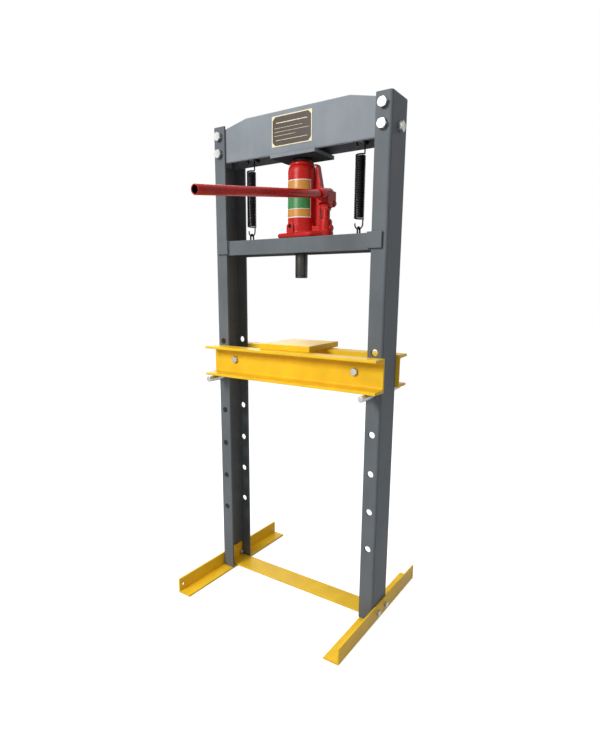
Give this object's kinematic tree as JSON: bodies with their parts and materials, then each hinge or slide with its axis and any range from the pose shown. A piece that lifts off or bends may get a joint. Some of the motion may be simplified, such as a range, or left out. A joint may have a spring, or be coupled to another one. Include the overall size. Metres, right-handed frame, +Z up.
{
  "type": "hydraulic shop press",
  "caption": "Floor-standing shop press: channel frame on angle feet, sprung crosshead with a hand-pumped bottle jack, and a pinned bed with a loose plate.",
  "frame": {"origin": "middle of the bounding box's floor rectangle; the press axis stands at x 0, y 0.1106", "axes": "+Z up, +X to the operator's right, -Y towards the operator, where the pump handle points"},
  "size_m": [0.5332, 0.6712, 1.271],
  "materials": {
    "slate_paint": "semi-gloss",
    "yellow_paint": "semi-gloss",
    "red_paint": "gloss",
    "zinc_plate": "satin",
    "black_steel": "oiled black",
    "ground_steel": "ground",
    "chromed_steel": "polished",
    "plate_enamel": "satin"
  },
  "bodies": {
    "frame": {"left_upright": "slate_paint", "right_upright": "slate_paint", "top_beam": "slate_paint", "head_plate": "slate_paint", "left_foot": "yellow_paint", "right_foot": "yellow_paint", "tie_bar": "yellow_paint", "top_bolt_front_left_upper": "zinc_plate", "top_bolt_front_left_lower": "zinc_plate", "top_bolt_rear_left_upper": "zinc_plate", "top_bolt_rear_left_lower": "zinc_plate", "top_bolt_front_right_upper": "zinc_plate", "top_bolt_front_right_lower": "zinc_plate", "top_bolt_rear_right_upper": "zinc_plate", "top_bolt_rear_right_lower": "zinc_plate", "web_bolt_left": "zinc_plate", "web_bolt_right": "zinc_plate", "foot_bolt_left_front": "zinc_plate", "foot_bolt_left_rear": "zinc_plate", "foot_bolt_right_front": "zinc_plate", "foot_bolt_right_rear": "zinc_plate", "saddle_collar": "black_steel", "return_spring_left": "black_steel", "return_spring_right": "black_steel", "spring_rod_left": "black_steel", "spring_rod_right": "black_steel", "extension_screw": "black_steel", "jack_ram": "chromed_steel", "rating_plate": "plate_enamel"},
    "crosshead": {"crosshead": "slate_paint", "guide_plate_front_left": "slate_paint", "guide_plate_rear_left": "slate_paint", "guide_plate_front_right": "slate_paint", "guide_plate_rear_right": "slate_paint", "press_ram": "ground_steel", "spring_eye_left": "black_steel", "spring_eye_right": "black_steel", "jack_base": "red_paint", "jack_tank": "red_paint", "jack_cap": "red_paint", "jack_cylinder": "ground_steel", "pump_sleeve": "red_paint", "lever_bracket": "red_paint", "pivot_pin": "zinc_plate"},
    "bed": {"bed_channel_front": "yellow_paint", "bed_channel_rear": "yellow_paint", "bed_bolt_left": "zinc_plate", "bed_bolt_right": "zinc_plate", "bed_nut_left": "zinc_plate", "bed_nut_right": "zinc_plate", "bed_spacer_left": "zinc_plate", "bed_spacer_right": "zinc_plate"},
    "press_plate": {"press_plate": "yellow_paint"},
    "bed_pin_left": {"bed_pin_left": "zinc_plate"},
    "bed_pin_right": {"bed_pin_right": "zinc_plate"},
    "pump_lever": {"pump_lever": "red_paint", "piston_pin": "zinc_plate"},
    "pump_piston": {"pump_piston": "red_paint"},
    "jack_handle": {"jack_handle": "red_paint"},
    "release_valve": {"release_valve": "zinc_plate"}
  },
  "joints": [
    {"name": "crosshead_press", "type": "slide", "parent": "frame", "child": "crosshead", "axis": [0, 0, -1], "range_m": [0, 0.11], "stiffness_N_per_m": 2000, "springref_m": -0.06, "deforming": ["return_spring_left", "return_spring_right"]},
    {"name": "bed_height", "type": "slide", "parent": "frame", "child": "bed", "axis": [0, 0, 1], "range_m": [0, 0.05]},
    {"name": "press_plate_along_bed", "type": "slide", "parent": "bed", "child": "press_plate", "axis": [1, 0, 0], "range_m": [-0.09, 0.13]},
    {"name": "left_pin_pull", "type": "slide", "parent": "frame", "child": "bed_pin_left", "axis": [0, -1, 0], "range_m": [0, 0.15]},
    {"name": "right_pin_pull", "type": "slide", "parent": "frame", "child": "bed_pin_right", "axis": [0, -1, 0], "range_m": [0, 0.15]},
    {"name": "pump_lever_swing", "type": "hinge", "parent": "crosshead", "child": "pump_lever", "pos_m": [0.071, 0.13258, 1.0553], "axis": [-1, 0, 0], "range_deg": [-7, 45]},
    {"name": "pump_piston_stroke", "type": "slide", "parent": "crosshead", "child": "pump_piston", "axis": [0, 0, 1], "range_m": [-0.003, 0.0178]},
    {"name": "handle_pull", "type": "slide", "parent": "pump_lever", "child": "jack_handle", "axis": [0, -0.9915, -0.1298], "range_m": [0, 0.03]},
    {"name": "release_valve_turn", "type": "hinge", "parent": "crosshead", "child": "release_valve", "pos_m": [-0.006, 0.06608, 1.0005], "axis": [0, 1, 0], "range_deg": [0, 180]}
  ],
  "couplings": [
    {"joint": "pump_piston_stroke", "follows": "pump_lever_swing", "m_per_rad": 0.022}
  ]
}
